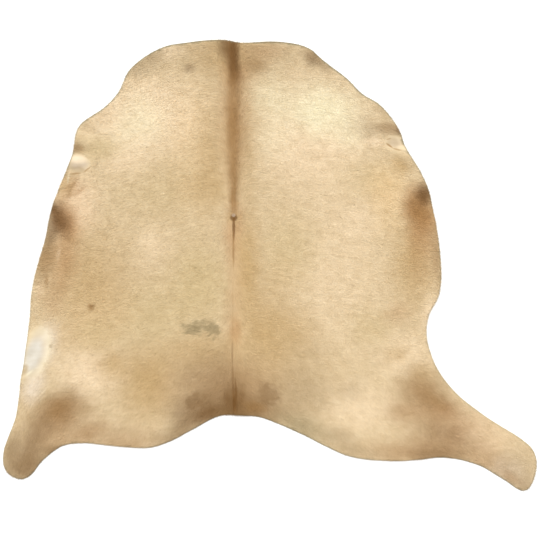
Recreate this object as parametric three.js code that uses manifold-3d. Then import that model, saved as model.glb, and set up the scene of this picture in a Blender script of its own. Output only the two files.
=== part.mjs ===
// Cowhide rug: one whole hair-on hide that lies flat, trimmed along its own uneven outline.
// Millimetres. +Z is up, +X runs across the hide and +Y along the spine towards the neck.
// The origin is on the floor, under the middle of the hide's box.

import * as THREE from "three";
import { mergeVertices } from "three/addons/utils/BufferGeometryUtils.js";
import Module from "manifold-3d";

// Driving sizes
const hideThickness = 5; // about 2 of skin and 3 of short coat lying on it
const rimStep = 26; // length of one straight step along the trimmed edge
const rimSamples = 40; // samples between two landmarks, to measure the edge's length
const trimReach = 100; // how far the trimming prism reaches above and below the floor
const trimMargin = 60; // how far the untrimmed sheet reaches past the trimmed edge
const plainPitch = 120; // grid of the sheet where it lies flat
const puckerPitch = 15; // grid of the sheet where it puckers
const strawCoat = { color: 0xd8bd94, roughness: 0.8, metalness: 0 };

// The trimmed edge as landmarks, clockwise from the neck as seen from above.
// across: right of the spine, along: forward of the tail edge
const neckEdge = [
  { place: "left neck corner", across: -298, along: 1510 },
  { place: "left neck", across: -160, along: 1536 },
  { place: "left of the crest", across: -70, along: 1545 },
  { place: "crest", across: -20, along: 1542 },
  { place: "crest dip", across: 25, along: 1531 },
  { place: "right of the crest", across: 150, along: 1537 },
  { place: "right neck", across: 262, along: 1526 },
  { place: "right neck bulge", across: 322, along: 1503 },
  { place: "right neck corner", across: 352, along: 1473 },
];

const rightSide = [
  { place: "shoulder bulge", across: 472, along: 1381 },
  { place: "shoulder notch", across: 530, along: 1321 },
  { place: "front of the shoulder", across: 588, along: 1288 },
  { place: "shoulder point", across: 640, along: 1235 },
  { place: "front of the armpit", across: 690, along: 1157 },
  { place: "armpit fold", across: 711, along: 1094 },
  { place: "behind the armpit", across: 762, along: 1016 },
  { place: "front ribs", across: 801, along: 935 },
  { place: "ribs", across: 822, along: 844 },
  { place: "belly", across: 854, along: 625 },
  { place: "belly corner", across: 847, along: 495 },
  { place: "flank notch, front", across: 802, along: 404 },
  { place: "flank notch, back", across: 797, along: 310 },
  { place: "thigh", across: 833, along: 203 },
];

const rightLeg = [
  { place: "front of the thigh", across: 868, along: 148 },
  { place: "front of the leg", across: 913, along: 95 },
  { place: "middle of the leg", across: 1043, along: -8 },
  { place: "hock", across: 1172, along: -89 },
  { place: "tip, front corner", across: 1232, along: -140 },
  { place: "tip", across: 1248, along: -212 },
  { place: "tip, back corner", across: 1202, along: -315 },
  { place: "back of the hock", across: 1110, along: -266 },
  { place: "back of the leg", across: 1000, along: -203 },
  { place: "back of the thigh", across: 855, along: -175 },
];

const tailEdge = [
  { place: "under the right thigh", across: 765, along: -184 },
  { place: "right buttock", across: 661, along: -190 },
  { place: "right of the rump", across: 482, along: -172 },
  { place: "right of the tail", across: 265, along: -72 },
  { place: "tail, right", across: 110, along: -10 },
  { place: "tail", across: 25, along: -4 },
  { place: "tail, left", across: -45, along: -1 },
  { place: "left of the tail", across: -178, along: -66 },
  { place: "left croup", across: -257, along: -109 },
  { place: "left of the rump", across: -345, along: -135 },
  { place: "left rump", across: -474, along: -130 },
  { place: "left buttock", across: -620, along: -116 },
];

const leftLeg = [
  { place: "back of the thigh", across: -697, along: -125 },
  { place: "back of the leg", across: -788, along: -193 },
  { place: "back of the hock", across: -829, along: -246 },
  { place: "tip, back corner", across: -872, along: -267 },
  { place: "tip", across: -938, along: -228 },
  { place: "tip, front corner", across: -946, along: -150 },
  { place: "front of the leg", across: -896, along: -12 },
];

const leftSide = [
  { place: "thigh", across: -873, along: 145 },
  { place: "flank", across: -840, along: 375 },
  { place: "belly", across: -826, along: 522 },
  { place: "ribs", across: -772, along: 735 },
  { place: "front ribs", across: -749, along: 845 },
  { place: "behind the armpit", across: -720, along: 925 },
  { place: "armpit fold", across: -662, along: 1072 },
  { place: "shoulder point", across: -633, along: 1191 },
  { place: "front of the shoulder", across: -536, along: 1261 },
  { place: "shoulder notch", across: -471, along: 1330 },
  { place: "shoulder bulge", across: -426, along: 1420 },
];

// Puckers: low ridges where the skin of the armpits and the flank is too full to lie flat.
// across, along: where the crest meets the edge, heading: degrees from +X that the crest runs in,
// reach: how far in it runs, spread: half its width, rise: its height
const puckers = [
  { place: "left armpit, front", across: -664, along: 1135, heading: -8, reach: 120, spread: 42, rise: 7 },
  { place: "left armpit, back", across: -680, along: 1030, heading: 4, reach: 150, spread: 48, rise: 14 },
  { place: "right armpit, front", across: 665, along: 1190, heading: 190, reach: 105, spread: 40, rise: 6 },
  { place: "right armpit, back", across: 716, along: 1094, heading: 166, reach: 130, spread: 42, rise: 12 },
  { place: "left flank", across: -872, along: 175, heading: 42, reach: 150, spread: 52, rise: 9 },
];

const landmarks = [...neckEdge, ...rightSide, ...rightLeg, ...tailEdge, ...leftLeg, ...leftSide];

// A hump from 1 at the middle to 0 at the rim of its span
function hump(offset) {
  return Math.abs(offset) < 1 ? (1 + Math.cos(Math.PI * offset)) / 2 : 0;
}

// Height of the hide's underside over the floor
function lift(across, along) {
  let height = 0;
  for (const pucker of puckers) {
    const heading = THREE.MathUtils.degToRad(pucker.heading);
    const right = across - pucker.across;
    const forward = along - pucker.along;
    const inward = right * Math.cos(heading) + forward * Math.sin(heading);
    const aside = forward * Math.cos(heading) - right * Math.sin(heading);
    height += pucker.rise * hump(Math.max(inward, 0) / pucker.reach) * hump(aside / pucker.spread);
  }
  return height;
}

// The trimmed edge, a smooth closed curve through the landmarks
function trimmedEdge() {
  const points = landmarks.map((landmark) => new THREE.Vector3(landmark.across, landmark.along, 0));
  const curve = new THREE.CatmullRomCurve3(points, true, "centripetal");
  curve.arcLengthDivisions = rimSamples * points.length;
  const steps = Math.round(curve.getLength() / rimStep);
  return curve.getSpacedPoints(steps).slice(0, steps);
}

// The plan box that one pucker fills
function puckerBox({ across, along, heading, reach, spread }) {
  const turn = THREE.MathUtils.degToRad(heading);
  const root = new THREE.Vector2(across, along);
  const tip = new THREE.Vector2(across + reach * Math.cos(turn), along + reach * Math.sin(turn));
  return new THREE.Box2().setFromPoints([root, tip]).expandByScalar(spread);
}

// Grid lines from low to high, close together inside the spans that pucker
function gridLines(low, high, spans) {
  const lines = [low];
  while (lines.at(-1) < high) {
    const last = lines.at(-1);
    const puckered = spans.some((span) => span.from <= last && last < span.to);
    const nextSpans = spans.map((span) => span.from).filter((from) => from > last);
    const next = puckered ? last + puckerPitch : Math.min(last + plainPitch, ...nextSpans);
    lines.push(Math.min(next, high));
  }
  return lines;
}

// A sheet of even thickness, larger than the hide, with the puckers pressed up in it
function fullSheet(edgeBox) {
  const { min, max } = edgeBox.clone().expandByScalar(trimMargin);
  const boxes = puckers.map(puckerBox);
  const columns = gridLines(min.x, max.x, boxes.map((box) => ({ from: box.min.x, to: box.max.x })));
  const rows = gridLines(min.y, max.y, boxes.map((box) => ({ from: box.min.y, to: box.max.y })));
  const cells = { x: columns.length - 1, y: rows.length - 1 };
  const sheet = new THREE.BoxGeometry(cells.x, cells.y, hideThickness, cells.x, cells.y, 1);
  sheet.translate(cells.x / 2, cells.y / 2, hideThickness / 2);
  const position = sheet.getAttribute("position");
  for (let i = 0; i < position.count; i += 1) {
    const across = columns[Math.round(position.getX(i))];
    const along = rows[Math.round(position.getY(i))];
    position.setXYZ(i, across, along, position.getZ(i) + lift(across, along));
  }
  return sheet;
}

// A tall prism inside the trimmed edge
function trimPrism(edge) {
  const outline = new THREE.Shape(edge.map((point) => new THREE.Vector2(point.x, point.y)));
  const prism = new THREE.ExtrudeGeometry(outline, { depth: 2 * trimReach, bevelEnabled: false });
  return prism.translate(0, 0, -trimReach);
}

function solidFrom(wasm, geometry) {
  geometry.deleteAttribute("normal");
  geometry.deleteAttribute("uv");
  const merged = mergeVertices(geometry);
  return new wasm.Manifold(
    new wasm.Mesh({
      numProp: 3,
      vertProperties: merged.getAttribute("position").array,
      triVerts: new Uint32Array(merged.index.array),
    }),
  );
}

function geometryFrom(solid) {
  const { vertProperties, triVerts } = solid.getMesh();
  const geometry = new THREE.BufferGeometry();
  geometry.setAttribute("position", new THREE.BufferAttribute(vertProperties, 3));
  geometry.setIndex(new THREE.BufferAttribute(triVerts, 1));
  geometry.computeVertexNormals();
  return geometry;
}

async function makeHide() {
  const wasm = await Module();
  wasm.setup();
  const edge = trimmedEdge();
  const box = new THREE.Box3().setFromPoints(edge);
  const trimmed = solidFrom(wasm, fullSheet(box)).intersect(solidFrom(wasm, trimPrism(edge)));
  const hide = new THREE.Mesh(geometryFrom(trimmed), new THREE.MeshStandardMaterial(strawCoat));
  hide.name = "hide";
  const middle = box.getCenter(new THREE.Vector3());
  hide.position.set(-middle.x, -middle.y, 0);
  return hide;
}

const rug = new THREE.Group();
rug.add(await makeHide());

export default rug;
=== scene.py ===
import math

import bmesh
import bpy
import numpy as np
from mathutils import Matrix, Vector, kdtree
from mathutils.geometry import delaunay_2d_cdt


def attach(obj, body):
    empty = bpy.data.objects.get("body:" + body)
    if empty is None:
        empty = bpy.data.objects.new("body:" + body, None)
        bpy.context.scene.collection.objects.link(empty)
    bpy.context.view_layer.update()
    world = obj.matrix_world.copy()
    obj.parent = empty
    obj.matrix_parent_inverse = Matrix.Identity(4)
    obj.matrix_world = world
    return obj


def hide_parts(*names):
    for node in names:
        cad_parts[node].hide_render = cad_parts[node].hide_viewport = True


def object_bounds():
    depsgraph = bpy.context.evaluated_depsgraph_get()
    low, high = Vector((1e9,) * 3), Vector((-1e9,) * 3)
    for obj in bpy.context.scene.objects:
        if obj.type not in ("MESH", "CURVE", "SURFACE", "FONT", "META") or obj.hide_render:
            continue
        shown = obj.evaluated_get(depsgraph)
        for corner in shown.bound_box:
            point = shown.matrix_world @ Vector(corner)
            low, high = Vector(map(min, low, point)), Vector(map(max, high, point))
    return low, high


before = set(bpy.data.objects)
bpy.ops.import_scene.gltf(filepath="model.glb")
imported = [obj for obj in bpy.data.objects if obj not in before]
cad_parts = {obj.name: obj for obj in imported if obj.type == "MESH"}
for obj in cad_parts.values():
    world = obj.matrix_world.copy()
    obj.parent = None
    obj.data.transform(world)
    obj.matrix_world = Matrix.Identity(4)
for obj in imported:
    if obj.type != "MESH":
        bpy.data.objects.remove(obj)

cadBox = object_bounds()  # the solid's own box, before anything is added
scene = bpy.context.scene
mm = 0.001

# the hide is charted in millimetres right of the spine and ahead of the tail edge
chart = {
    "spine": -149.8,  # where the spine lies in the part's frame, along X
    "tail": -615.1,   # and where the tail edge lies, along Y
}


def onChart(points):
    return np.asarray(points)[:, :2] / mm - (chart["spine"], chart["tail"])


# camera straight above, framed as the photograph is
shot = {
    "side": 540,                    # pixels along one side of the frame
    "pixel": 2200 / 535,            # millimetres of hide in one pixel
    "hideMiddle": (269.7, 265.4),   # the pixel over the middle of the hide's box
    "lens": 70.0,
    "sensor": 36.0,
    "reach": 1000.0,                # metres that the camera sees, past the far edge of the floor
}


def makeCamera():
    data = bpy.data.cameras.new("overhead")
    data.lens = shot["lens"]
    data.sensor_width = shot["sensor"]
    data.clip_end = shot["reach"]
    camera = bpy.data.objects.new("overhead", data)
    right, down = [(shot["side"] / 2 - middle) * shot["pixel"] * mm for middle in shot["hideMiddle"]]
    height = shot["side"] * shot["pixel"] * mm * shot["lens"] / shot["sensor"]
    camera.location = (right, -down, height)
    scene.collection.objects.link(camera)
    scene.camera = camera
    print("camera", round(height, 2), "m above the hide")


# pale floor and soft light, a little stronger from the neck end
studio = {
    "floorSide": 400.0,              # metres
    "floorDrop": 0.4 * mm,
    "floorColour": (0.86, 0.86, 0.85, 1.0),
    "floorRoughness": 0.9,
    "skyColour": (1.0, 0.99, 0.975, 1.0),
    "skyStrength": 0.54,
    "lampFrom": (-0.25, 1.0, 1.05),  # where the lamp shines from
    "lampWide": 35.0,                # how wide it looks, in degrees
    "lampStrength": 3.66,
}


def makeStudio():
    half = studio["floorSide"] / 2
    mesh = bpy.data.meshes.new("floor")
    plan = ((-half, -half), (half, -half), (half, half), (-half, half))
    corners = [(x, y, -studio["floorDrop"]) for x, y in plan]
    mesh.from_pydata(corners, [], [(0, 1, 2, 3)])
    paint = bpy.data.materials.new("paleFloor")
    paint.use_nodes = True
    shader = paint.node_tree.nodes["Principled BSDF"]
    shader.inputs["Base Color"].default_value = studio["floorColour"]
    shader.inputs["Roughness"].default_value = studio["floorRoughness"]
    mesh.materials.append(paint)
    floor = bpy.data.objects.new("floor", mesh)
    scene.collection.objects.link(floor)

    world = bpy.data.worlds.new("softSky")
    world.use_nodes = True
    sky = world.node_tree.nodes["Background"]
    sky.inputs["Color"].default_value = studio["skyColour"]
    sky.inputs["Strength"].default_value = studio["skyStrength"]
    scene.world = world

    light = bpy.data.lights.new("neckLamp", "SUN")
    light.angle = math.radians(studio["lampWide"])
    light.energy = studio["lampStrength"]
    lamp = bpy.data.objects.new("neckLamp", light)
    lamp.location = studio["lampFrom"]
    lamp.rotation_euler = (-Vector(studio["lampFrom"])).to_track_quat("-Z", "Y").to_euler()
    scene.collection.objects.link(lamp)
    scene.view_settings.view_transform = "Standard"
    print("studio with a floor, a sky and a lamp")


# the skin, cut a little inside the outline that the hair reaches
hide = {
    "skinThick": 2.2,     # millimetres, as are the sizes below
    "inset": 1.5,         # from the coat's outline in to the cut edge
    "rimStep": 6.0,       # between points along the cut edge
    "rounding": 9.0,      # how far the outline's corners are smoothed
    "pitch": 9.5,         # between points over the skin
    "foldPitch": 4.5,     # and where it is folded
    "foldFrom": 0.3,      # lift that counts as folded
    "foldTip": 0.25,      # share of its width that a fold keeps at its tip
    "foldFall": 1.5,      # how fast a fold sinks on its way in
    "foldPast": 1.1,      # share of its rise that a fold may reach at the edge
    "pointStray": 0.15,   # how far a point strays, as a share of the pitch
    "pointGap": 0.55,     # and how far it keeps from the cut edge
    "knifeWaver": 1.1,    # how far the knife strayed
    "knifeTurns": (13, 24, 41, 67),  # waves of the knife round the whole edge
    "seed": 11,
}

# puckers and swells, where the skin is too full to lie flat: ridges that narrow and sink to a point
# place, across, along: where the crest meets the edge, heading: degrees that it runs in, reach: how far,
# left and right: its half widths on either hand of the heading, rise: less than nothing for a crease
folds = (
    ("left armpit, front", -664, 1140, -10, 170, 60, 66, 6.5),
    ("left armpit, back", -690, 1034, 3, 125, 48, 40, 11.5),
    ("right armpit, front", 655, 1205, 187, 130, 64, 84, 7.0),
    ("right armpit, back", 722, 1080, 170, 130, 70, 32, 12.0),
    ("left flank", -872, 160, 48, 150, 60, 52, 7.5),
    ("left flank, upper", -850, 290, 60, 110, 40, 50, 3.5),
    ("left belly edge", -800, 600, 15, 110, 90, 120, 3.5),
    ("right flank edge", 836, 800, 185, 120, 120, 90, 3.5),
    ("right neck corner", 340, 1500, 225, 110, 60, 60, 4.0),
    ("left neck corner", -400, 1460, -40, 110, 60, 60, 3.5),
    ("left belly, pucker", -826, 512, 4, 62, 50, 44, 3.0),
    ("left armpit, behind", -705, 938, 34, 75, 14, 12, 3.5),
    ("left armpit, wrinkle", -722, 890, 42, 60, 11, 13, 3.0),
    ("left armpit, crease", -690, 992, 16, 110, 7, 16, -3.0),
    ("right armpit, crease", 694, 1084, 154, 90, 16, 7, -2.5),
    ("left flank, crease", -872, 156, 34, 90, 8, 10, -2.0),
    ("left flank, second crease", -868, 190, 36, 70, 7, 9, -1.5),
)


def hump(share):
    return np.where(np.abs(share) < 1, (1 + np.cos(np.pi * np.clip(share, -1, 1))) / 2, 0)


def liftAt(across, along):
    height = np.zeros(len(across))
    for place, foldAcross, foldAlong, heading, reach, left, right, rise in folds:
        turn = math.radians(heading)
        east = across - foldAcross
        north = along - foldAlong
        inward = east * math.cos(turn) + north * math.sin(turn)
        aside = north * math.cos(turn) - east * math.sin(turn)
        taper = np.clip(1 - inward / reach, 0, hide["foldPast"])
        width = np.where(aside > 0, left, right) * (hide["foldTip"] + (1 - hide["foldTip"]) * taper)
        height += rise * taper ** hide["foldFall"] * hump(aside / width)
    return np.maximum(height, 0)


def solidEdge():
    # the solid's plan outline as a loop, walked along the edges where its underside meets the cut wall
    samePlace = 1e-6  # metres
    upright = 0.5     # a face is a wall if its normal rises or sinks less than this
    work = bmesh.new()
    work.from_mesh(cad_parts["hide"].data)
    bmesh.ops.remove_doubles(work, verts=work.verts, dist=samePlace)
    work.normal_update()
    beside = {}
    for edge in work.edges:
        tilts = sorted(face.normal.z for face in edge.link_faces)
        if len(tilts) == 2 and tilts[0] < -upright and abs(tilts[1]) < upright:
            first, second = edge.verts
            beside.setdefault(first, []).append(second)
            beside.setdefault(second, []).append(first)
    start = next(iter(beside))
    walk = [start, beside[start][0]]
    while walk[-1] is not start:
        walk.append(next(vert for vert in beside[walk[-1]] if vert is not walk[-2]))
    loop = np.array([vert.co.xy for vert in walk[:-1]])
    work.free()
    ahead = np.roll(loop, -1, axis=0)
    area = np.sum(loop[:, 0] * ahead[:, 1] - ahead[:, 0] * loop[:, 1])
    return loop if area > 0 else loop[::-1]


def cutEdge():
    # even steps, corners rounded off, moved in to the knife's line, with the knife's waver
    loop = solidEdge()
    closed = np.vstack([loop, loop[:1]])
    travel = np.concatenate([[0], np.cumsum(np.linalg.norm(np.diff(closed, axis=0), axis=1))])
    count = round(travel[-1] / (hide["rimStep"] * mm))
    steps = np.linspace(0, travel[-1], count, endpoint=False)
    even = np.column_stack([np.interp(steps, travel, closed[:, axis]) for axis in (0, 1)])
    waves = np.fft.fftfreq(count, travel[-1] / count)
    # a soft blur, done on the outline's waves
    soften = np.exp(-2 * (np.pi * waves * hide["rounding"] * mm) ** 2)
    even = np.real(np.fft.ifft(np.fft.fft(even, axis=0) * soften[:, None], axis=0))
    run = np.roll(even, -1, axis=0) - np.roll(even, 1, axis=0)
    inward = np.column_stack([-run[:, 1], run[:, 0]]) / np.linalg.norm(run, axis=1)[:, None]
    rng = np.random.default_rng(hide["seed"])
    turn = 2 * np.pi * steps / travel[-1]
    phases = rng.uniform(0, 2 * np.pi, len(hide["knifeTurns"]))
    waver = sum(np.sin(k * turn + phase) for k, phase in zip(hide["knifeTurns"], phases)) / len(phases)
    return even + inward * (hide["inset"] + hide["knifeWaver"] * waver)[:, None] * mm


def insideLoop(loop, points):
    x, y = points.T
    within = np.zeros(len(points), bool)
    for (ax, ay), (bx, by) in zip(loop, np.roll(loop, -1, axis=0)):
        spans = (ay > y) != (by > y)
        if spans.any():
            crossing = ax + (y[spans] - ay) * (bx - ax) / (by - ay)
            within[spans] ^= x[spans] < crossing
    return within


def distanceTo(loop, points):
    tree = kdtree.KDTree(len(loop))
    for index, (x, y) in enumerate(loop):
        tree.insert((x, y, 0), index)
    tree.balance()
    return np.array([tree.find((x, y, 0))[2] for x, y in points])


def spreadPoints(loop, pitch, folded):
    # rows of points at the pitch, every other row shifted, each a little off its place
    low, high = loop.min(axis=0), loop.max(axis=0)
    rows = np.arange(low[1], high[1], pitch * math.sqrt(3) / 2)
    columns = np.arange(low[0], high[0], pitch)
    grid = np.array([(x + (row % 2) * pitch / 2, y) for row, y in enumerate(rows) for x in columns])
    rng = np.random.default_rng(hide["seed"] + 1)
    grid += rng.uniform(-hide["pointStray"], hide["pointStray"], grid.shape) * pitch
    grid = grid[(liftAt(*onChart(grid).T) > hide["foldFrom"]) == folded]
    grid = grid[insideLoop(loop, grid)]
    return grid[distanceTo(loop, grid) > hide["pointGap"] * pitch]


def planArea(plan, triangles):
    a, b, c = (plan[triangles[:, k]] for k in range(3))
    return ((b[:, 0] - a[:, 0]) * (c[:, 1] - a[:, 1]) - (b[:, 1] - a[:, 1]) * (c[:, 0] - a[:, 0])) / 2


def fillHide():
    loop = cutEdge()
    flat = spreadPoints(loop, hide["pitch"] * mm, False)
    folded = spreadPoints(loop, hide["foldPitch"] * mm, True)
    points = np.vstack([loop, flat, folded])
    rim = [(k, (k + 1) % len(loop)) for k in range(len(loop))]
    insideRim = 1     # the filler's way of keeping only what the rim encloses
    samePlace = 1e-7  # metres
    filled = delaunay_2d_cdt([Vector(point) for point in points], rim, [], insideRim, samePlace)
    plan = np.array([vert[:] for vert in filled[0]])
    triangles = np.array([face[:] for face in filled[2]])
    turned = planArea(plan, triangles) < 0
    triangles[turned] = triangles[turned][:, ::-1]
    print("hide filled with", len(plan), "points and", len(triangles), "triangles")
    return loop, plan, triangles


def store(mesh, name, values, kind="FLOAT", domain="POINT", part="value"):
    mesh.attributes.new(name, kind, domain).data.foreach_set(part, values)


def makeSkin(loop, plan, triangles, coatSide, fleshSide):
    count = len(plan)
    lift = liftAt(*onChart(plan).T) * mm
    top = np.column_stack([plan, lift + hide["skinThick"] * mm])
    under = np.column_stack([plan, lift])
    edges = np.vstack([triangles[:, [0, 1]], triangles[:, [1, 2]], triangles[:, [2, 0]]])
    used = {tuple(edge) for edge in edges}
    wall = [(i, i + count, j + count, j) for i, j in edges if (j, i) not in used]
    faces = triangles.tolist() + (triangles[:, ::-1] + count).tolist() + wall
    mesh = bpy.data.meshes.new("hide_skin")
    mesh.from_pydata(np.vstack([top, under]).tolist(), [], faces)
    mesh.materials.append(coatSide)
    mesh.materials.append(fleshSide)
    slots = np.ones(len(faces), np.int32)
    slots[:len(triangles)] = 0
    mesh.polygons.foreach_set("material_index", slots)
    smooth = np.ones(len(faces), bool)
    smooth[2 * len(triangles):] = False
    mesh.polygons.foreach_set("use_smooth", smooth)
    rim = rimShadeShare(onChart(plan)[:, 1], distanceTo(loop, plan) / mm)
    store(mesh, "rimShadeShare", np.tile(rim, 2))
    mesh.update()
    skin = bpy.data.objects.new("hide_skin", mesh)
    scene.collection.objects.link(skin)
    print("skin with", 2 * len(triangles) + 2 * len(wall), "triangles")
    return skin


# how the hair lies: out from the spine and a little back, forward along the crest, down the legs
lie = {
    "backward": 0.24,          # how far it leans towards the tail, over the ribs
    "rumpBackward": 0.95,      # the same over the rump
    "rump": (420.0, -60.0),    # along, where the rump starts and where it is full
    "partWidth": 26.0,         # millimetres over which the coat turns from left to right
    "crestWidth": 55.0,
    "crestForward": 1.7,
    "crest": (796.0, 876.0),   # along, where the crest starts and where it is full
    "loinBackward": 0.9,
    "whorl": (2.0, 816.0),     # across and along
    "whorlReach": 52.0,
    "whorlTurn": 55.0,         # degrees between the swirl and straight out
}

# where the hair turns down a leg: side, its way there, and the spans across and along that it turns in
legs = (
    ("right", (0.86, -0.51), (720, 960), (330, 60)),
    ("left", (-0.47, -0.88), (-640, -840), (200, -60)),
)


def ramp(value, start, end):
    share = np.clip((value - start) / (end - start), 0, 1)
    return share * share * (3 - 2 * share)


def hairFlow(across, along):
    outward = across / np.hypot(across, lie["partWidth"])
    rump = ramp(along, *lie["rump"])
    back = lie["backward"] + (lie["rumpBackward"] - lie["backward"]) * rump
    nearSpine = np.exp(-(across / lie["crestWidth"]) ** 2)
    front = ramp(along, *lie["crest"])
    back = back - nearSpine * (front * lie["crestForward"] - (1 - front) * lie["loinBackward"])
    flow = np.column_stack([outward, -back])
    for side, way, acrossSpan, alongSpan in legs:
        share = (ramp(across, *acrossSpan) * ramp(along, *alongSpan))[:, None]
        flow = flow * (1 - share) + np.array(way) * share
    fromWhorl = np.column_stack([across - lie["whorl"][0], along - lie["whorl"][1]])
    away = np.linalg.norm(fromWhorl, axis=1)
    turn = math.radians(lie["whorlTurn"])
    swirl = fromWhorl @ np.array([[math.cos(turn), math.sin(turn)], [-math.sin(turn), math.cos(turn)]])
    swirl /= np.maximum(away, 1e-6)[:, None]  # never by nothing
    share = np.exp(-(away / lie["whorlReach"]) ** 2)[:, None]
    flow = flow * (1 - share) + swirl * share
    return flow / np.linalg.norm(flow, axis=1)[:, None]


# the coat: tapered three-sided locks of hair, grown on the skin by Geometry Nodes
coat = {
    "hair": 19.0,              # millimetres, the plain length
    "crestHair": 26.0,
    "crestWide": 60.0,         # half the width of the crest's longer hair
    "crest": (820, 1300),      # along, where that hair starts and where it is full
    "tail": (250, 60),         # the same at the tail
    "legHair": 14.0,
    "rightLeg": (880, 1180),   # across, where the leg's hair starts and where it is full
    "leftLeg": (-40, -200),    # along, the same
    "leftLegSide": -600,       # across, what lies further out is leg
    "bareHair": 0.35,          # share of its length that hair keeps beside a bare patch
    "bareLong": (0.9, 1.5),    # how far out it starts to lengthen and where it is full, in patch sizes
    "bareThick": (0.9, 1.15),  # and where it starts to grow and is thick
    "overhang": 5.0,           # how far hair may reach past the cut edge
    "lockWide": 0.95,          # half the width of a lock at its root
    "lockHigh": 0.29,          # and its height
    "spacing": 2.42,           # least distance between two roots
    "thick": 260000.0,         # most roots in a square metre
    "raise": 0.1,              # slope at which a lock stands off the skin
    "stray": 0.17,             # how far a lock strays from the lie
    "strayBox": ((-1, -1, -0.3), (1, 1, 0.5)),  # and which ways
    "raiseVaries": (0.5, 1.5),  # least and most, as shares
    "highVaries": (0.7, 1.3),
    "wideVaries": (0.6, 1.4),
    "lengthVaries": (0.75, 1.1),
    "seed": 7,
    "zoneSeed": 20,            # from the seed of one piece to that of the next
}

# bare patches, rubbed or cut: place, across, along, half width, half length, turn
bare = (
    ("left flank", -816, 256, 52, 110, -18),
    ("right armpit", 660, 1118, 40, 30, -25),
    ("left armpit", -634, 1036, 48, 36, -8),
)
zoneNames = ("back_left", "front_left", "back_right", "front_right")


def fromBare(across, along):
    # 0 in the middle of the nearest bare patch, 1 at its edge
    nearest = np.full(len(across), np.inf)
    for place, bareAcross, bareAlong, wide, long, degrees in bare:
        turn = math.radians(degrees)
        east = across - bareAcross
        north = along - bareAlong
        aside = (east * math.cos(turn) + north * math.sin(turn)) / wide
        ahead = (north * math.cos(turn) - east * math.sin(turn)) / long
        nearest = np.minimum(nearest, np.hypot(aside, ahead))
    return nearest


def hairLength(across, along, fromEdge):
    ends = np.maximum(ramp(along, *coat["crest"]), ramp(along, *coat["tail"]))
    crest = np.exp(-(across / coat["crestWide"]) ** 2) * ends
    leftLeg = ramp(along, *coat["leftLeg"]) * (across < coat["leftLegSide"])
    leg = np.maximum(ramp(across, *coat["rightLeg"]), leftLeg)
    length = coat["hair"] + (coat["crestHair"] - coat["hair"]) * crest
    length += (coat["legHair"] - coat["hair"]) * leg
    grown = ramp(fromBare(across, along), *coat["bareLong"])
    length *= coat["bareHair"] + (1 - coat["bareHair"]) * grown
    return np.minimum(length, fromEdge + coat["overhang"])


def rimShadeShare(along, fromEdge):
    # painted edge shadow: how grey the hair is near the cut edge, partly greyer hair and partly painted
    # contact shadow, least at the legs and most at the neck
    neck = ramp(along, *finish["rimShadeSpan"])
    return ramp(fromEdge, finish["rimShadeWide"], 0) * (finish["rimShadeStrength"] * (1 - neck) + neck)


def newNode(tree, kind, inputs=None, **settings):
    node = tree.nodes.new(kind)
    for name, value in settings.items():
        setattr(node, name, value)
    for name, value in (inputs or {}).items():
        if isinstance(name, int):
            socket = node.inputs[name]
        else:
            socket = next(s for s in node.inputs if s.enabled and s.name == name)
        if isinstance(value, bpy.types.NodeSocket):
            tree.links.new(value, socket)
        else:
            socket.default_value = value
    return node


def result(node, name=None):
    return next(s for s in node.outputs if s.enabled and name in (None, s.name))


def added(tree, first, second):
    return result(newNode(tree, "ShaderNodeVectorMath", {0: first, 1: second}, operation="ADD"))


def groupTree(name, kind, inputs, outputs):
    tree = bpy.data.node_groups.new(name, kind)
    for way, sockets in (("INPUT", inputs), ("OUTPUT", outputs)):
        for socketName, socketKind in sockets:
            tree.interface.new_socket(socketName, in_out=way, socket_type="NodeSocket" + socketKind)
    return tree, newNode(tree, "NodeGroupInput").outputs


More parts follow.
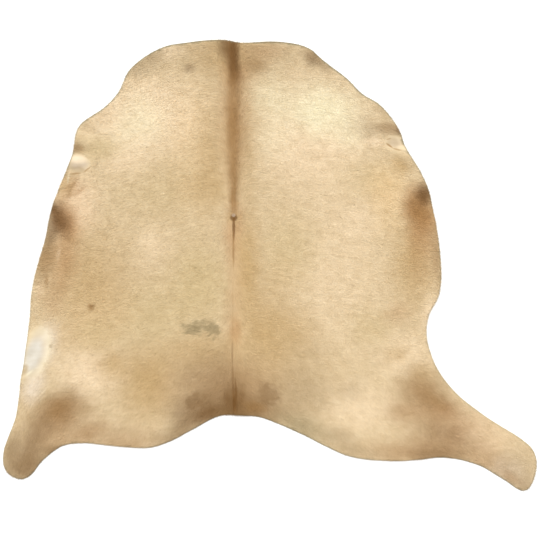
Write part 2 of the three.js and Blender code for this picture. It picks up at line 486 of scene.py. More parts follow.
def coatTree():
    tree, given = groupTree("growCoat", "GeometryNodeTree", (
        ("Geometry", "Geometry"), ("Zone", "Int"), ("Spacing", "Float"), ("Thick", "Float"),
        ("Lock Wide", "Float"), ("Lock High", "Float"), ("Raise", "Float"), ("Stray", "Float"),
        ("Seed", "Int"), ("Material", "Material"),
    ), (("Geometry", "Geometry"),))

    def attribute(name, kind):
        return result(newNode(tree, "GeometryNodeInputNamedAttribute", {"Name": name}, data_type=kind))

    def random(low, high, shift, kind="FLOAT"):
        seed = newNode(tree, "FunctionNodeIntegerMath", {0: given["Seed"], 1: shift}, operation="ADD")
        drawn = newNode(tree, "FunctionNodeRandomValue", {"Min": low, "Max": high, "Seed": result(seed)},
                        data_type=kind)
        return result(drawn)

    def product(first, second):
        return result(newNode(tree, "ShaderNodeMath", {0: first, 1: second}, operation="MULTIPLY"))

    def scaled(vector, factor):
        return result(newNode(tree, "ShaderNodeVectorMath", {0: vector, "Scale": factor}, operation="SCALE"))

    inZone = newNode(tree, "FunctionNodeCompare", {"A": attribute("zone", "INT"), "B": given["Zone"]},
                     data_type="INT", operation="EQUAL")
    roots = newNode(tree, "GeometryNodeDistributePointsOnFaces", {
        "Mesh": given["Geometry"], "Selection": result(inZone), "Distance Min": given["Spacing"],
        "Density Max": given["Thick"], "Density Factor": attribute("furred", "FLOAT"), "Seed": given["Seed"],
    }, distribute_method="POISSON")
    offSkin = result(roots, "Normal")

    # each lock points along the lie, a little astray and a little off the skin
    stray = scaled(random(*coat["strayBox"], 1, "FLOAT_VECTOR"), given["Stray"])
    standing = scaled(offSkin, product(given["Raise"], random(*coat["raiseVaries"], 2)))
    pointing = added(tree, added(tree, attribute("hairFlow", "FLOAT_VECTOR"), stray), standing)
    turned = newNode(tree, "FunctionNodeAxesToRotation", {
        "Primary Axis": pointing, "Secondary Axis": offSkin,
    }, primary_axis="Z", secondary_axis="X")
    length = product(attribute("hairLength", "FLOAT"), random(*coat["lengthVaries"], 5))
    size = newNode(tree, "ShaderNodeCombineXYZ", {
        "X": product(given["Lock High"], random(*coat["highVaries"], 3)),
        "Y": product(given["Lock Wide"], random(*coat["wideVaries"], 4)),
        "Z": length,
    })

    # each lock keeps the place of its middle, where its colour is read, and a shade of its own
    place = result(newNode(tree, "GeometryNodeInputPosition"))
    middle = added(tree, place, scaled(pointing, product(length, 0.5)))
    placed = newNode(tree, "GeometryNodeStoreNamedAttribute", {
        "Geometry": result(roots, "Points"), "Name": "lockPlace", "Value": middle,
    }, data_type="FLOAT_VECTOR", domain="POINT")
    shaded = newNode(tree, "GeometryNodeStoreNamedAttribute", {
        "Geometry": result(placed), "Name": "lockShade", "Value": random(0.0, 1.0, 6),
    }, data_type="FLOAT", domain="POINT")

    # one lock, a unit cone of three sides that knows how near its tip each point is
    cone = newNode(tree, "GeometryNodeMeshCone", {
        "Vertices": 3, "Side Segments": 1, "Radius Top": 0.0, "Radius Bottom": 1.0, "Depth": 1.0,
    }, fill_type="NGON")
    upCone = result(newNode(tree, "ShaderNodeSeparateXYZ", {"Vector": place}), "Z")
    lock = newNode(tree, "GeometryNodeStoreNamedAttribute", {
        "Geometry": result(cone, "Mesh"), "Name": "tipShare", "Value": upCone,
    }, data_type="FLOAT", domain="POINT")

    locks = newNode(tree, "GeometryNodeInstanceOnPoints", {
        "Points": result(shaded), "Instance": result(lock), "Rotation": result(turned), "Scale": result(size),
    })
    joined = newNode(tree, "GeometryNodeRealizeInstances", {"Geometry": result(locks)})
    dressed = newNode(tree, "GeometryNodeSetMaterial", {
        "Geometry": result(joined), "Material": given["Material"],
    })
    newNode(tree, "NodeGroupOutput", {"Geometry": result(dressed)})
    return tree


def halfway(values, weights):
    # the value with half of the weight on either side
    order = np.argsort(values)
    return values[order][np.searchsorted(np.cumsum(weights[order]), weights.sum() / 2)]


def coatBed(loop, plan, triangles):
    # the skin's top face alone, with the lie and length of the hair on it
    across, along = onChart(plan).T
    mesh = bpy.data.meshes.new("coatBed")
    top = np.column_stack([plan, (liftAt(across, along) + hide["skinThick"]) * mm])
    mesh.from_pydata(top.tolist(), [], triangles.tolist())
    flow = np.column_stack([hairFlow(across, along), np.zeros(len(plan))])
    fromEdge = distanceTo(loop, plan) / mm
    store(mesh, "hairFlow", flow.ravel(), kind="FLOAT_VECTOR", part="vector")
    store(mesh, "rimShadeShare", rimShadeShare(along, fromEdge))
    store(mesh, "hairLength", hairLength(across, along, fromEdge) * mm)
    store(mesh, "furred", ramp(fromBare(across, along), *coat["bareThick"]))

    # four pieces of equal area
    middle = plan[triangles].mean(axis=1)
    area = planArea(plan, triangles)
    right = middle[:, 0] > halfway(middle[:, 0], area)
    zone = 2 * right.astype(np.int32)
    for half in (right, ~right):
        zone[half] += middle[half, 1] > halfway(middle[half, 1], area[half])
    store(mesh, "zone", zone, kind="INT", domain="FACE")
    mesh.update()
    return mesh


def planMap(mesh):
    # a map laid out as the hide is seen from above, so that each lock keeps its place on it
    low, high = cadBox
    points = np.empty(3 * len(mesh.vertices))
    mesh.vertices.foreach_get("co", points)
    corner = np.empty(len(mesh.loops), np.int32)
    mesh.loops.foreach_get("vertex_index", corner)
    margin = 0.02  # metres left free round the hide
    side = max(high.x - low.x, high.y - low.y) + 2 * margin
    spot = (points.reshape(-1, 3)[corner, :2] - np.array([low.x, low.y]) + margin) / side
    mesh.uv_layers.new(name="OFBake").uv.foreach_set("vector", spot.ravel())


def growCoat(bed, hair):
    tree = coatTree()
    keys = {item.name: item.identifier for item in tree.interface.items_tree if item.in_out == "INPUT"}
    pieces = []
    for zone, zoneName in enumerate(zoneNames):
        host = bpy.data.objects.new("coatHost", bed)
        scene.collection.objects.link(host)
        grower = host.modifiers.new("growCoat", "NODES")
        grower.node_group = tree
        for name, value in (
            ("Zone", zone), ("Spacing", coat["spacing"] * mm), ("Thick", coat["thick"]),
            ("Lock Wide", coat["lockWide"] * mm), ("Lock High", coat["lockHigh"] * mm),
            ("Raise", coat["raise"]), ("Stray", coat["stray"]), ("Material", hair),
            ("Seed", coat["seed"] + coat["zoneSeed"] * zone),
        ):
            grower[keys[name]] = value
        grown = host.evaluated_get(bpy.context.evaluated_depsgraph_get())
        mesh = bpy.data.meshes.new_from_object(grown)
        mesh.name = "coat_" + zoneName
        host.modifiers.remove(grower)
        bpy.data.objects.remove(host)
        planMap(mesh)
        piece = bpy.data.objects.new("coat_" + zoneName, mesh)
        scene.collection.objects.link(piece)
        pieces.append(piece)
        print("coat", zoneName, "with", len(mesh.polygons), "triangles")
    return pieces


# colours of the coat as they show in even light
tints = {
    "cream": "ffebc6", "pale": "f9e0bb", "blush": "f2e0c8", "honey": "f0d09e", "peach": "f0cea6",
    "straw": "e3c99f", "olive": "d8be8b", "tan": "cdaa74", "dun": "be986c", "fox": "bc8a54",
    "brown": "9e723c", "bark": "8e6b42", "umber": "785024",
    # the grey-olive tint last in this row paints the shadow along the cut edge
    "bone": "ded7c8", "rose": "dfc8ae", "ash": "bda27b", "smoke": "9c875f", "rimShadeGrey": "807455",
}

# broad fields and patches: place, across, along, half width, half length, turn, tint, strength
fields = (
    ("left shoulder", -352, 1229, 362, 255, 0, "pale", 0.9),
    ("left shoulder, outer", -409, 1197, 197, 173, 0, "cream", 0.6),
    ("right shoulder", 364, 1139, 370, 378, 0, "pale", 0.7),
    ("right shoulder, top", 364, 1254, 255, 164, 0, "cream", 0.95),
    ("right of the crest, pale", 158, 1304, 123, 148, 0, "cream", 0.5),
    ("right shoulder, inner", 175, 1139, 115, 140, 0, "cream", 0.38),
    ("right shoulder, low", 471, 1155, 123, 99, 0, "cream", 0.4),
    ("left shoulder, low", -434, 1065, 214, 164, 0, "pale", 0.6),
    ("left ribs, front", -607, 868, 107, 164, 0, "pale", 0.6),
    ("left ribs, pink", -664, 859, 148, 222, 0, "peach", 0.5),
    ("behind the left armpit, brown", -672, 933, 45, 82, -25, "fox", 0.42),
    ("left shoulder, pink", -508, 1246, 140, 123, 0, "peach", 0.25),
    ("left flank, pink", -607, 333, 173, 140, 0, "peach", 0.45),
    ("right withers", 224, 1090, 140, 206, 0, "pale", 0.35),
    ("right ribs", 417, 604, 308, 493, 0, "pale", 0.4),
    ("right ribs, middle", 520, 794, 156, 132, 0, "pale", 0.4),
    ("left loin", -331, 699, 115, 148, 0, "pale", 0.4),
    ("left thigh", -598, 177, 222, 164, 0, "pale", 0.8),
    ("right thigh", 701, 251, 189, 156, 0, "pale", 0.5),
    ("right rump", 520, 29, 238, 164, 0, "pale", 0.5),
    ("right flank notch", 812, 407, 58, 115, 0, "pale", 0.7),
    ("left ribs", -282, 925, 308, 206, 0, "olive", 0.32),
    ("left loin, inner", -146, 535, 214, 288, 0, "olive", 0.7),
    ("left loin, outer", -343, 411, 247, 214, 0, "olive", 0.55),
    ("right loin", 232, 678, 185, 230, 0, "olive", 0.48),
    ("right ribs, front", 627, 942, 140, 148, 0, "honey", 0.75),
    ("right ribs, warm", 652, 827, 132, 148, 0, "honey", 0.45),
    ("left of the crest, warm", -154, 1106, 173, 411, 0, "honey", 0.35),
    ("left belly, warm", -557, 424, 206, 206, 0, "honey", 0.35),
    ("right of the spine, warm", 175, 547, 173, 148, 0, "tan", 0.3),
    ("right ribs, outer", 545, 983, 197, 140, 0, "olive", 0.3),
    ("right flank, inner", 570, 370, 148, 132, 0, "olive", 0.4),
    ("right flank, warm", 676, 424, 99, 74, 0, "fox", 0.28),
    ("right loin, low", 265, 259, 222, 107, 0, "ash", 0.32),
    ("right thigh, front", 668, 259, 82, 66, 0, "tan", 0.4),
    ("right thigh, side", 775, 173, 82, 74, 0, "tan", 0.45),
    ("right rump, grey", 487, 103, 82, 74, 0, "ash", 0.35),
    ("left of the crest", -88, 1057, 111, 370, 0, "tan", 0.5),
    ("left withers", -125, 938, 189, 115, 0, "tan", 0.35),
    ("right of the crest", 56, 1081, 70, 391, 0, "tan", 0.36),
    ("right of the spine", 60, 604, 82, 354, 0, "tan", 0.85),
    ("right croup, front", 125, 358, 164, 222, 0, "tan", 0.75),
    ("left belly", -590, 547, 271, 354, 0, "tan", 0.65),
    ("left croup", -352, 136, 206, 238, 0, "tan", 0.85),
    ("loin, low", -154, 259, 247, 132, 0, "tan", 0.5),
    ("croup", 76, 177, 461, 296, 0, "tan", 0.5),
    ("spine", -2, 514, 62, 452, 0, "fox", 0.3),
    ("spine, behind the whorl", 2, 777, 70, 197, 0, "fox", 0.5),
    ("right croup, upper", 249, 350, 156, 173, 0, "tan", 0.45),
    ("left croup, outer", -504, 210, 107, 99, 0, "tan", 0.7),
    ("rump", -14, 95, 391, 214, 0, "dun", 0.75),
    ("rump, middle", -47, 111, 271, 222, 0, "bark", 0.4),
    ("right croup", 282, 86, 214, 181, 0, "ash", 0.6),
    ("neck", 6, 1509, 514, 173, 0, "ash", 0.35),
    ("left neck", -269, 1493, 107, 66, 0, "pale", 0.5),
    ("neck, middle", -23, 1476, 214, 156, 0, "tan", 0.62),
    ("right neck", 125, 1493, 140, 66, 0, "fox", 0.32),
    ("neck, warm", 19, 1402, 99, 90, 0, "fox", 0.35),
    ("right belly", 742, 629, 140, 296, 0, "tan", 0.72),
    ("right belly, warm", 771, 662, 90, 189, 0, "fox", 0.25),
    ("right flank", 779, 802, 99, 197, 0, "fox", 0.74),
    ("right flank, low", 783, 835, 58, 132, 0, "brown", 0.28),
    ("right side edge", 837, 654, 37, 230, 0, "brown", 0.45),
    ("left side edge", -697, 654, 90, 189, -8, "fox", 0.52),
    ("left belly edge", -775, 637, 62, 140, -12, "brown", 0.66),
    ("left belly, low", -738, 498, 82, 140, -8, "fox", 0.28),
    ("left flank, inner", -582, 333, 181, 123, 0, "olive", 0.5),
    ("before the right armpit", 578, 1184, 156, 74, -8, "ash", 0.45),
    ("right shoulder edge", 639, 1242, 82, 53, -45, "ash", 0.6),
    ("behind the left armpit", -701, 942, 66, 82, 0, "tan", 0.5),
    ("behind the right armpit", 689, 1028, 58, 62, 0, "tan", 0.7),
    ("before the left armpit", -541, 1102, 148, 82, 0, "olive", 0.6),
    ("left leg, all", -730, -70, 263, 189, 30, "dun", 0.7),
    ("left leg", -713, 33, 181, 111, 18, "brown", 0.76),
    ("left thigh, low", -586, -62, 107, 58, 15, "dun", 0.65),
    ("left heel", -742, -144, 66, 49, 25, "bark", 0.6),
    ("left leg, front edge", -915, -127, 45, 107, -18, "bark", 0.4),
    ("left shank", -812, -86, 82, 156, -27, "bark", 0.5),
    ("left leg end", -857, -210, 164, 140, 0, "bark", 0.8),
    ("left hind edge", -458, -115, 255, 107, 0, "dun", 0.6),
    ("right leg, all", 849, -37, 321, 197, -30, "dun", 0.55),
    ("right leg", 792, 90, 173, 123, -42, "brown", 0.68),
    ("right leg, hock side", 886, 29, 99, 74, -32, "brown", 0.58),
    ("right leg, band", 935, -62, 66, 115, -20, "brown", 0.36),
    ("right leg, red", 874, -37, 189, 123, -30, "fox", 0.22),
    ("right leg, pale", 1022, -86, 271, 148, -30, "peach", 0.35),
    ("right thigh, back", 701, 8, 123, 70, 0, "dun", 0.58),
    ("right thigh, low", 882, -111, 206, 123, -26, "bark", 0.45),
    ("right hind edge", 767, -156, 395, 99, 0, "dun", 0.75),
    ("right buttock", 438, -103, 132, 66, -25, "ash", 0.65),
    ("right buttock, edge", 520, -156, 115, 37, -8, "ash", 0.5),
    ("right heel", 824, -160, 164, 49, -6, "bark", 0.52),
    ("right shank", 1063, -201, 140, 82, -28, "dun", 0.6),
    ("right leg end", 1162, -226, 148, 148, 0, "ash", 0.6),
    ("right leg end, grey", 1129, -238, 132, 99, -30, "rose", 0.35),
    ("right toe", 1186, -288, 58, 45, -35, "bark", 0.4),
    ("tail edge", -14, 12, 345, 115, 0, "bark", 0.95),
    ("left rump edge", -212, -62, 173, 99, 35, "bark", 0.62),
    ("right rump edge", 282, -53, 181, 90, -28, "smoke", 0.6),
    # darker at the left neck corner: partly brownish hair, partly painted shade where the corner curls up
    ("left neck corner", -360, 1460, 148, 82, 30, "ash", 0.7),
)

# small marks with a closer edge, in the same columns
marks = (
    ("crest, around", 2, 1229, 90, 428, 0, "fox", 0.45),
    ("neck crest", -21, 1513, 62, 99, 0, "umber", 0.72),
    ("neck crest, core", 0, 1484, 37, 164, 0, "umber", 0.75),
    ("crest, front", 5, 1410, 45, 115, 0, "umber", 0.6),
    ("crest", 0, 1271, 53, 189, 0, "brown", 0.6),
    ("withers", 1, 1106, 45, 222, 0, "brown", 0.65),
    ("behind the withers", 2, 950, 37, 156, 0, "brown", 0.6),
    ("crest end", 1, 872, 29, 90, 0, "brown", 0.45),
    ("whorl, around", 2, 810, 49, 33, 0, "tan", 0.5),
    ("tail root", 10, 62, 78, 132, 0, "bark", 0.65),
    ("tail, dark", 7, 53, 21, 82, 0, "umber", 0.6),
    ("tail, left", -23, 62, 21, 49, 10, "umber", 0.36),
    ("tail, right", 35, 66, 21, 53, -6, "umber", 0.3),
    ("left of the tail, edge", -109, 4, 74, 37, 28, "umber", 0.4),
    ("right of the tail, edge", 93, 33, 74, 37, -8, "brown", 0.45),
    ("left side spot, around", -689, 798, 74, 136, 20, "fox", 0.68),
    ("left side spot", -715, 806, 58, 111, 20, "umber", 0.78),
    ("left side spot, rim", -742, 847, 23, 37, -8, "umber", 0.75),
    ("left side spot, edge", -746, 761, 45, 107, -12, "umber", 0.55),
    ("right side spot, around", 746, 868, 82, 123, 0, "fox", 0.58),
    ("right side spot, below", 759, 847, 82, 132, -6, "brown", 0.42),
    ("right side spot", 785, 905, 49, 70, 0, "umber", 0.8),
    # painted shade: the slope of the right armpit's pucker that faces away from the lamp, brown and darkest
    # at the edge
    ("right armpit", 648, 1176, 86, 37, -10, "brown", 0.42),
    ("right armpit, edge shade", 685, 1168, 25, 37, 25, "umber", 0.55),
    ("right armpit, cream", 574, 1121, 66, 29, -4, "pale", 0.7),
    ("left armpit", -644, 1098, 49, 33, -15, "brown", 0.55),
    # darker lines along the wrinkles behind the left armpit: painted shade in their hollows
    ("left armpit, wrinkle", -660.0, 945.8, 12.3, 41.1, -38, "brown", 0.32),
    ("left armpit, second wrinkle", -676.4, 904.6, 12.3, 32.9, -28, "brown", 0.32),
    ("left armpit, third wrinkle", -631.2, 921.1, 10.7, 41.1, -46, "fox", 0.4),
    ("right armpit, bare", 664, 1118, 41, 33, -20, "rose", 0.6),
    ("left belly, bulge", -796, 510, 23, 58, -6, "peach", 0.3),
    # painted shade in a crease at the left belly's edge
    ("left belly, crease", -767.7, 551.0, 8.2, 45.2, -3, "brown", 0.5),
    ("left belly, pale strand", -719.6, 662.0, 12.3, 49.3, -12, "pale", 0.32),
    ("left flank, pale edge", -775, 284, 74, 140, -14, "blush", 0.75),
    ("left flank, cream", -820, 119, 66, 115, -25, "blush", 0.7),
    ("right leg spot", 1137, -255, 58, 37, -30, "brown", 0.4),
    ("left neck spot", -183, 1427, 37, 29, 0, "bark", 0.5),
    ("right neck spot", 97, 1435, 74, 45, -12, "brown", 0.42),
    # darker at the right neck corner: partly brownish hair, partly painted shade where the corner curls up
    ("right neck corner", 323, 1472, 66, 49, -38, "bark", 0.62),
    ("right neck corner, edge shade", 376, 1435, 53, 29, -42, "bark", 0.35),
    ("spine, loin", 10, 341, 41, 90, 0, "fox", 0.45),
    ("mole", -584, 441, 21, 21, 0, "brown", 0.75),
)

# healed scuffs with a ragged edge, in the same columns
scuffs = (
    ("left loin", -171, 354, 53, 41, -10, "smoke", 0.62),
    ("left loin, between", -130, 366, 45, 37, 20, "smoke", 0.45),
    ("left loin, inner", -84, 350, 45, 41, 14, "smoke", 0.66),
    ("left of the tail", -154, 53, 62, 49, 10, "bark", 0.55),
    ("right of the tail", 146, 86, 62, 62, -30, "bark", 0.55),
)

# thin lines and dots that stay as sharp as they are, in the same columns
lines = (
    ("crest streak, left", -3.7, 884.1, 4.9, 82.2, 0, "brown", 0.22),
    ("crest streak, right", 7.0, 908.8, 5.3, 90.5, 0, "brown", 0.25),
    ("spine line", 2.1, 773.1, 8.2, 74.0, 0, "umber", 0.74),
    ("spine line, end", 0.8, 678.5, 5.8, 98.7, 0, "brown", 0.5),
    ("loin line, front", -2.1, 431.8, 4.9, 148.0, 0, "brown", 0.15),
    ("loin line", -3.7, 259.1, 5.8, 61.7, 0, "umber", 0.32),
    ("tail strand, left", -1.2, 127.5, 6.6, 123.4, 1, "umber", 0.35),
    ("tail strand, right", 11.1, 106.9, 6.2, 61.7, 4, "umber", 0.5),
    ("tail strand, low", 4.5, 49.3, 8.2, 45.2, -3, "umber", 0.5),
    ("whorl, ring", 2, 812, 21, 20, 0, "umber", 0.8),
    ("whorl, eye", 1.6, 821.6, 10.7, 10.3, 0, "rose", 0.45),
    ("left flank, cream edge", -804, 259, 72, 127, -17, "cream", 0.6),
    ("left flank, bare", -812, 257, 56, 111, -18, "rose", 0.7),
    ("left flank, bare grey", -820, 247, 45, 95, -18, "bone", 0.65),
    ("left flank, spot", -750.4, 282.5, 10.7, 9.9, 0, "ash", 0.45),
    ("left flank, lower spot", -858, 189, 19, 29, -30, "ash", 0.6),
    ("left flank, crease", -836.8, 172.7, 26.7, 6.2, 40, "cream", 0.45),
    ("right armpit, bare shade", 656, 1118, 37, 31, -15, "ash", 0.42),
    # dark lines in the right armpit's creases: partly brown hair, partly painted crease shadow
    ("right armpit, crease", 641.5, 1107.8, 22.6, 4.9, -36, "brown", 0.7),
    ("right armpit, crease end", 672.3, 1091.3, 24.7, 4.9, -16, "brown", 0.55),
    ("right armpit, crease top", 639.4, 1134.9, 14.4, 4.1, 18, "brown", 0.45),
    ("left armpit, bare", -633, 1034, 51, 39, -8, "rose", 0.65),
    ("left armpit, lit", -635, 1051, 43, 25, -6, "pale", 0.5),
    ("left armpit, shade", -635, 1007, 41, 19, -4, "ash", 0.6),
    # dark lines in the left armpit's crease: partly brown hair, partly painted crease shadow
    ("left armpit, crease", -600.4, 1009.1, 24.7, 4.9, 38, "brown", 0.55),
    ("left armpit, crease end", -647.6, 992.6, 28.8, 5.3, 4, "brown", 0.55),
    ("left armpit, pale strand", -678.5, 974.5, 6.6, 28.8, -8, "cream", 0.45),
)

# how the tints lie on the coat and how it takes the light
finish = {
    "strength": (0.998, 1.036, 1.08),  # all tints are multiplied by this, since hair on hair loses blue
    "brightest": 0.95,                 # most light that a tint gives back
    "fieldStray": (7.0, 34.0, 3.0),    # noise's scale, millimetres that a field's edge strays, detail
    "markStray": (30.0, 7.0, 2.0),     # and that of a mark
    "scuffStray": (52.0, 40.0, 4.0),   # and that of a scuff
    "fieldCore": 0.05,                 # share of a field that has its full tint
    "markCore": 0.15,                  # and of a mark
    "scuffCore": 0.35,                 # and of a scuff
    "lineCore": 0.4,                   # and of a line
    "mottle": (0.065, (26.0, 26.0, 26.0)),  # how strongly the coat is mottled, and the noise's scales
    "streak": (0.04, (13.0, 75.0, 13.0)),   # and how strongly it is streaked
    "noiseSpan": (0.3, 0.7),           # the range of the noise that both use
    "noiseDetail": 4.0,
    "warmth": (0.8, 1.0, 1.4),         # share in red, green and blue, so that what is darker is warmer
    "lockVaries": 0.04,                # how much one lock differs from the next
    "rootShade": 0.82,                 # how dark a lock is at its root
    "rootEnd": 0.6,                    # share of the lock where that ends
    "rimShadeWide": 7.0,                    # millimetres of greyer hair and painted edge shadow along the cut edge
    "rimShadeStrength": 0.4,                # and how grey it gets at the legs
    "rimShadeSpan": (100, 1480),            # along, from there to the neck, where the painted shadow is greyest
    "roughness": 0.6,
    "sheen": 0.04,
    "sheenRoughness": 0.4,
    "shine": 0.15,
    "bump": 0.5,
}


def linear(tint):
    # a tint in linear light, as the shader wants it
    shown = [int(tints[tint][k:k + 2], 16) / 255 for k in (0, 2, 4)]
    parts = [((part + 0.055) / 1.055) ** 2.4 for part in shown]
    return (*(min(part * gain, finish["brightest"]) for part, gain in zip(parts, finish["strength"])), 1.0)


def softSpotTree():
    # one oval of tint with a soft edge
    tree, given = groupTree("softSpot", "ShaderNodeTree", (
        ("Place", "Vector"), ("Colour", "Color"), ("Centre", "Vector"), ("Size", "Vector"),
        ("Turn", "Float"), ("Tint", "Color"), ("Strength", "Float"), ("Core", "Float"),
    ), (("Colour", "Color"),))
    shifted = newNode(tree, "ShaderNodeVectorMath", {0: given["Place"], 1: given["Centre"]},
                      operation="SUBTRACT")
    back = newNode(tree, "ShaderNodeMath", {0: given["Turn"], 1: -1.0}, operation="MULTIPLY")
    turned = newNode(tree, "ShaderNodeVectorRotate", {"Vector": result(shifted), "Angle": result(back)},
                     rotation_type="Z_AXIS")
    sized = newNode(tree, "ShaderNodeVectorMath", {0: result(turned), 1: given["Size"]}, operation="DIVIDE")
    away = newNode(tree, "ShaderNodeVectorMath", {0: result(sized)}, operation="LENGTH")
    cover = newNode(tree, "ShaderNodeMapRange", {
        "Value": result(away), "From Min": 1.0, "From Max": given["Core"], "To Min": 0.0,
        "To Max": given["Strength"],
    }, interpolation_type="SMOOTHSTEP")
    mixed = newNode(tree, "ShaderNodeMix", {
        "Factor": result(cover), "A": given["Colour"], "B": given["Tint"],
    }, data_type="RGBA")
    newNode(tree, "NodeGroupOutput", {"Colour": result(mixed)})
    return tree


def strayed(tree, place, scale, reach, detail):
    # how far noise moves a place, in chart millimetres
    noise = newNode(tree, "ShaderNodeTexNoise", {"Vector": place, "Scale": scale, "Detail": detail})
    centred = newNode(tree, "ShaderNodeVectorMath", {0: result(noise, "Color"), 1: (0.5, 0.5, 0.5)},
                      operation="SUBTRACT")
    moved = newNode(tree, "ShaderNodeVectorMath", {0: result(centred), "Scale": 2 * reach}, operation="SCALE")
    return result(moved)


def coatColourTree():
    tree, given = groupTree("coatColours", "ShaderNodeTree", (
        ("Place", "Vector"), ("Lock", "Vector"), ("Rim Shade", "Float"),
    ), (("Colour", "Color"),))
    spot = softSpotTree()

    def charted(place):
        # metres in the part's frame to millimetres on the chart, flat
        flat = newNode(tree, "ShaderNodeVectorMath", {
            0: place, 1: (1 / mm, 1 / mm, 0), 2: (-chart["spine"], -chart["tail"], 0),
        }, operation="MULTIPLY_ADD")
        return result(flat)

    lock = given["Lock"]
    sharp = charted(given["Place"])
    close = added(tree, charted(lock), strayed(tree, lock, *finish["markStray"]))
    loose = added(tree, close, strayed(tree, lock, *finish["fieldStray"]))
    ragged = added(tree, close, strayed(tree, lock, *finish["scuffStray"]))
    base = newNode(tree, "ShaderNodeRGB")
    base.outputs[0].default_value = linear("straw")
    colour = result(base)
    for rows, place, core in (
        (fields, loose, finish["fieldCore"]),
        (marks, close, finish["markCore"]),
        (scuffs, ragged, finish["scuffCore"]),
        (lines, sharp, finish["lineCore"]),
    ):
        for name, across, along, wide, long, turn, tint, strength in rows:
            colour = result(newNode(tree, "ShaderNodeGroup", {
                "Place": place, "Colour": colour, "Centre": (across, along, 0), "Size": (wide, long, 0),
                "Turn": math.radians(turn), "Tint": linear(tint), "Strength": strength, "Core": core,
            }, node_tree=spot, label=name))

    # greyer along the cut edge: partly grey hair, partly painted edge shadow
    colour = result(newNode(tree, "ShaderNodeMix", {
        "Factor": given["Rim Shade"], "A": colour, "B": linear("rimShadeGrey"),
    }, data_type="RGBA"))

    # mottling and streaks, lighter and darker than the tints
    least, most = finish["noiseSpan"]
    for strength, scales in (finish["mottle"], finish["streak"]):
        spread = newNode(tree, "ShaderNodeMapping", {"Vector": lock, "Scale": scales})
        noise = newNode(tree, "ShaderNodeTexNoise", {
            "Vector": result(spread), "Scale": 1.0, "Detail": finish["noiseDetail"],
        })
        share = newNode(tree, "ShaderNodeMapRange", {
            "Value": result(noise), "From Min": least, "From Max": most,
        })
        shade = newNode(tree, "ShaderNodeMix", {
            "Factor": result(share),
            "A": (*(1 - strength * part for part in finish["warmth"]), 1.0),
            "B": (*(1 + strength * part for part in finish["warmth"]), 1.0),
        }, data_type="RGBA")
        toned = newNode(tree, "ShaderNodeVectorMath", {0: colour, 1: result(shade)}, operation="MULTIPLY")
        colour = result(toned)
    newNode(tree, "NodeGroupOutput", {"Colour": colour})
    return tree


def newMaterial(name, look):
    material = bpy.data.materials.new(name)
    material.use_nodes = True
    shader = material.node_tree.nodes["Principled BSDF"]
    shader.inputs["Roughness"].default_value = look["roughness"]
    shader.inputs["Specular IOR Level"].default_value = finish["shine"]
    shader.inputs["Sheen Weight"].default_value = look["sheen"]
    shader.inputs["Sheen Roughness"].default_value = finish["sheenRoughness"]
    return material, material.node_tree, shader


def objectPlace(tree):
    return result(newNode(tree, "ShaderNodeTexCoord"), "Object")


def attributeOf(tree, name, part="Fac"):
    return result(newNode(tree, "ShaderNodeAttribute", attribute_name=name), part)


def makeHairMaterial(colours):
    material, tree, shader = newMaterial("strawHair", finish)
    tinted = newNode(tree, "ShaderNodeGroup", {
        "Place": objectPlace(tree), "Lock": attributeOf(tree, "lockPlace", "Vector"),
        "Rim Shade": attributeOf(tree, "rimShadeShare"),
    }, node_tree=colours)
    varied = newNode(tree, "ShaderNodeMapRange", {
        "Value": attributeOf(tree, "lockShade"),
        "To Min": 1 - finish["lockVaries"], "To Max": 1 + finish["lockVaries"],
    })
    rooted = newNode(tree, "ShaderNodeMapRange", {
        "Value": attributeOf(tree, "tipShare"), "From Max": finish["rootEnd"],
        "To Min": finish["rootShade"], "To Max": 1.0,
    })
    both = newNode(tree, "ShaderNodeMath", {0: result(varied), 1: result(rooted)}, operation="MULTIPLY")
    shaded = newNode(tree, "ShaderNodeVectorMath", {0: result(tinted), "Scale": result(both)},
                     operation="SCALE")
    tree.links.new(result(shaded), shader.inputs["Base Color"])
    return material


def roughen(tree, shader, noise, depth):
    bump = newNode(tree, "ShaderNodeBump", {
        "Height": result(noise), "Strength": finish["bump"], "Distance": depth,
    })
    tree.links.new(result(bump), shader.inputs["Normal"])


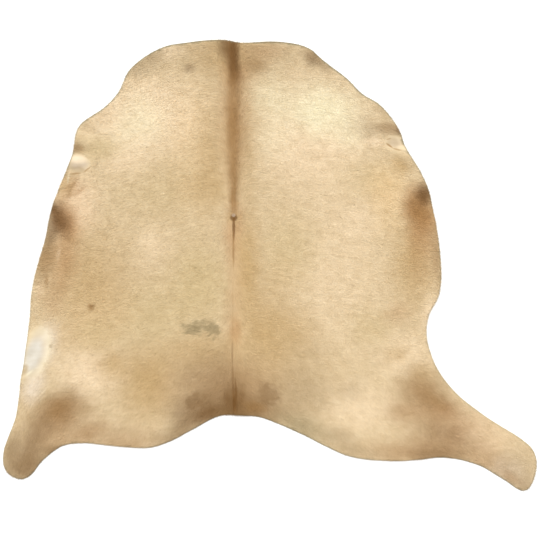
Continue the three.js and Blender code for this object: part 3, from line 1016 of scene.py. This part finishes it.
# the hair close to the skin, seen between the locks
underHair = {
    "roughness": 0.75,
    "sheen": 0.05,
    "strands": (60.0, 420.0, 60.0),  # in a metre each way
    "strandDetail": 3.0,
    "relief": 0.6 * mm,
}


def makeCoatSideMaterial(colours):
    material, tree, shader = newMaterial("hairRoots", underHair)
    place = objectPlace(tree)
    tinted = newNode(tree, "ShaderNodeGroup", {
        "Place": place, "Lock": place, "Rim Shade": attributeOf(tree, "rimShadeShare"),
    }, node_tree=colours)
    shaded = newNode(tree, "ShaderNodeVectorMath", {0: result(tinted), "Scale": finish["rootShade"]},
                     operation="SCALE")
    tree.links.new(result(shaded), shader.inputs["Base Color"])
    strands = newNode(tree, "ShaderNodeMapping", {"Vector": place, "Scale": underHair["strands"]})
    grain = newNode(tree, "ShaderNodeTexNoise", {
        "Vector": result(strands), "Scale": 1.0, "Detail": underHair["strandDetail"],
    })
    roughen(tree, shader, grain, underHair["relief"])
    return material


# the suede underside and the cut edge
suede = {
    "roughness": 0.9,
    "sheen": 0.2,
    "cloudScale": 9.0,
    "cloudDetail": 6.0,
    "napScale": 900.0,
    "napDetail": 4.0,
    "relief": 0.5 * mm,
}


def makeFleshSideMaterial():
    material, tree, shader = newMaterial("suedeFlesh", suede)
    place = objectPlace(tree)
    cloud = newNode(tree, "ShaderNodeTexNoise", {
        "Vector": place, "Scale": suede["cloudScale"], "Detail": suede["cloudDetail"],
    })
    tone = newNode(tree, "ShaderNodeMix", {
        "Factor": result(cloud), "A": linear("straw"), "B": linear("bone"),
    }, data_type="RGBA")
    tree.links.new(result(tone), shader.inputs["Base Color"])
    nap = newNode(tree, "ShaderNodeTexNoise", {
        "Vector": place, "Scale": suede["napScale"], "Detail": suede["napDetail"],
    })
    roughen(tree, shader, nap, suede["relief"])
    return material


makeCamera()
makeStudio()
coatColours = coatColourTree()
loop, plan, triangles = fillHide()
skin = makeSkin(loop, plan, triangles, makeCoatSideMaterial(coatColours), makeFleshSideMaterial())
coatPieces = growCoat(coatBed(loop, plan, triangles), makeHairMaterial(coatColours))

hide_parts("hide")
for piece in (skin, *coatPieces):
    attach(piece, "root")
